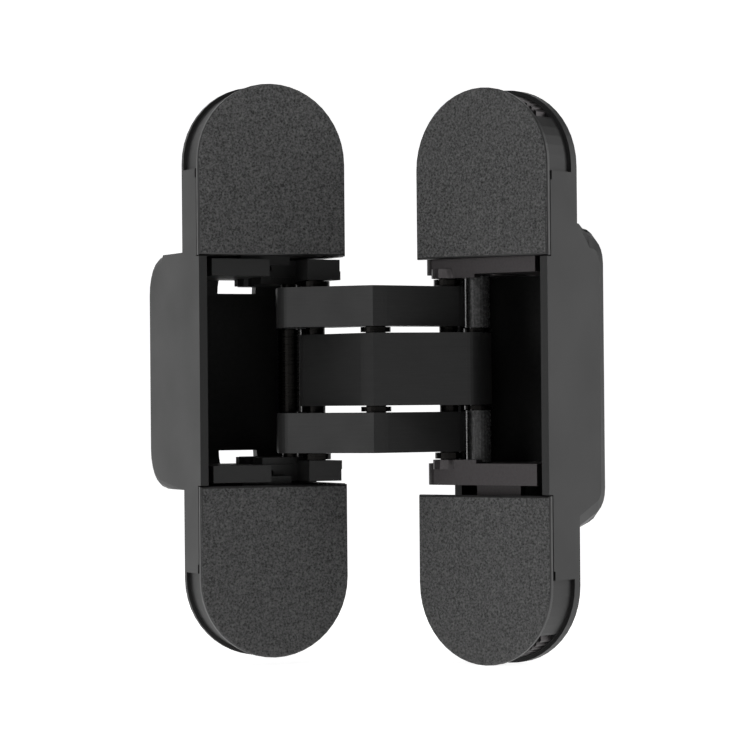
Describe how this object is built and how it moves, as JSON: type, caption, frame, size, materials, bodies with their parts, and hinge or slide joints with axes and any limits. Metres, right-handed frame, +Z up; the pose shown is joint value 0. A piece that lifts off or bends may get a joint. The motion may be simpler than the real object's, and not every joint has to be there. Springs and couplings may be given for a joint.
{
  "type": "concealed hinge",
  "caption": "Concealed mortise door hinge: two slim housings with round-ended covers, joined by a scissor linkage of hooked arms, with three-way adjustment.",
  "frame": {"origin": "middle of the flat back of the frame housing's pocket", "axes": "+Z up along the pivot pins, +Y into the door frame, -Y out of the frame housing's face, +X from the outer side to the linkage side"},
  "size_m": [0.0739, 0.0614, 0.11],
  "materials": {
    "housing": "matte black coat on a die casting",
    "cap": "fine grained moulded black",
    "arm": "brushed black",
    "carrier": "satin dark grey",
    "pin": "ground steel, lightly greased"
  },
  "bodies": {
    "frame_housing_group": {"frame_housing": "housing", "frame_cap_upper": "cap", "frame_cap_lower": "cap", "frame_clamp_screw_upper": "pin", "frame_clamp_screw_lower": "pin"},
    "frame_slides": {"frame_slide_upper": "carrier", "frame_slide_lower": "carrier"},
    "frame_carriers": {"frame_carrier_upper": "carrier", "frame_carrier_lower": "carrier", "frame_pivot_pin": "pin", "frame_pivot_washer_upper": "pin", "frame_pivot_washer_lower": "pin"},
    "middle_arm_group": {"middle_arm": "arm", "centre_pin": "pin", "door_slider_pin": "pin", "door_slider_ring_upper": "pin", "door_slider_ring_lower": "pin", "door_roller_upper": "pin", "door_roller_lower": "pin"},
    "outer_arms": {"upper_arm": "arm", "lower_arm": "arm", "frame_slider_pin": "pin", "frame_slider_sleeve": "pin", "centre_washer_upper": "pin", "centre_washer_lower": "pin"},
    "door_carriers": {"door_carrier_upper": "carrier", "door_carrier_lower": "carrier", "door_pivot_pin": "pin", "door_pivot_washer_upper": "pin", "door_pivot_washer_lower": "pin"},
    "door_housing_group": {"door_housing": "housing", "door_cap_upper": "cap", "door_cap_lower": "cap", "door_rack_upper": "carrier", "door_rack_lower": "carrier"}
  },
  "joints": [
    {"name": "side_adjust", "type": "slide", "parent": "frame_housing_group", "child": "frame_slides", "axis": [1, 0, 0], "range_m": [-0.001, 0.001]},
    {"name": "depth_adjust", "type": "slide", "parent": "frame_slides", "child": "frame_carriers", "axis": [0, 1, 0], "range_m": [-0.001, 0.001]},
    {"name": "frame_arm_hinge", "type": "hinge", "parent": "frame_carriers", "child": "middle_arm_group", "pos_m": [0.0101, -0.0247, 0], "axis": [0, 0, 1], "range_deg": [-81.5, 41.7]},
    {"name": "centre_hinge", "type": "hinge", "parent": "middle_arm_group", "child": "outer_arms", "pos_m": [0.01565, -0.04045, 0], "axis": [0, 0, 1], "range_deg": [-22.6, 44.1]},
    {"name": "door_arm_hinge", "type": "hinge", "parent": "outer_arms", "child": "door_carriers", "pos_m": [0.03212, -0.03767, 0], "axis": [0, 0, 1], "range_deg": [-81.6, 41.8]},
    {"name": "height_adjust", "type": "slide", "parent": "door_carriers", "child": "door_housing_group", "axis": [0, 0, 1], "range_m": [-0.0015, 0.0045]}
  ],
  "couplings": [
    {"joint": "centre_hinge", "follows": "frame_arm_hinge", "ratio": -0.54015},
    {"joint": "door_arm_hinge", "follows": "frame_arm_hinge", "ratio": 1}
  ]
}
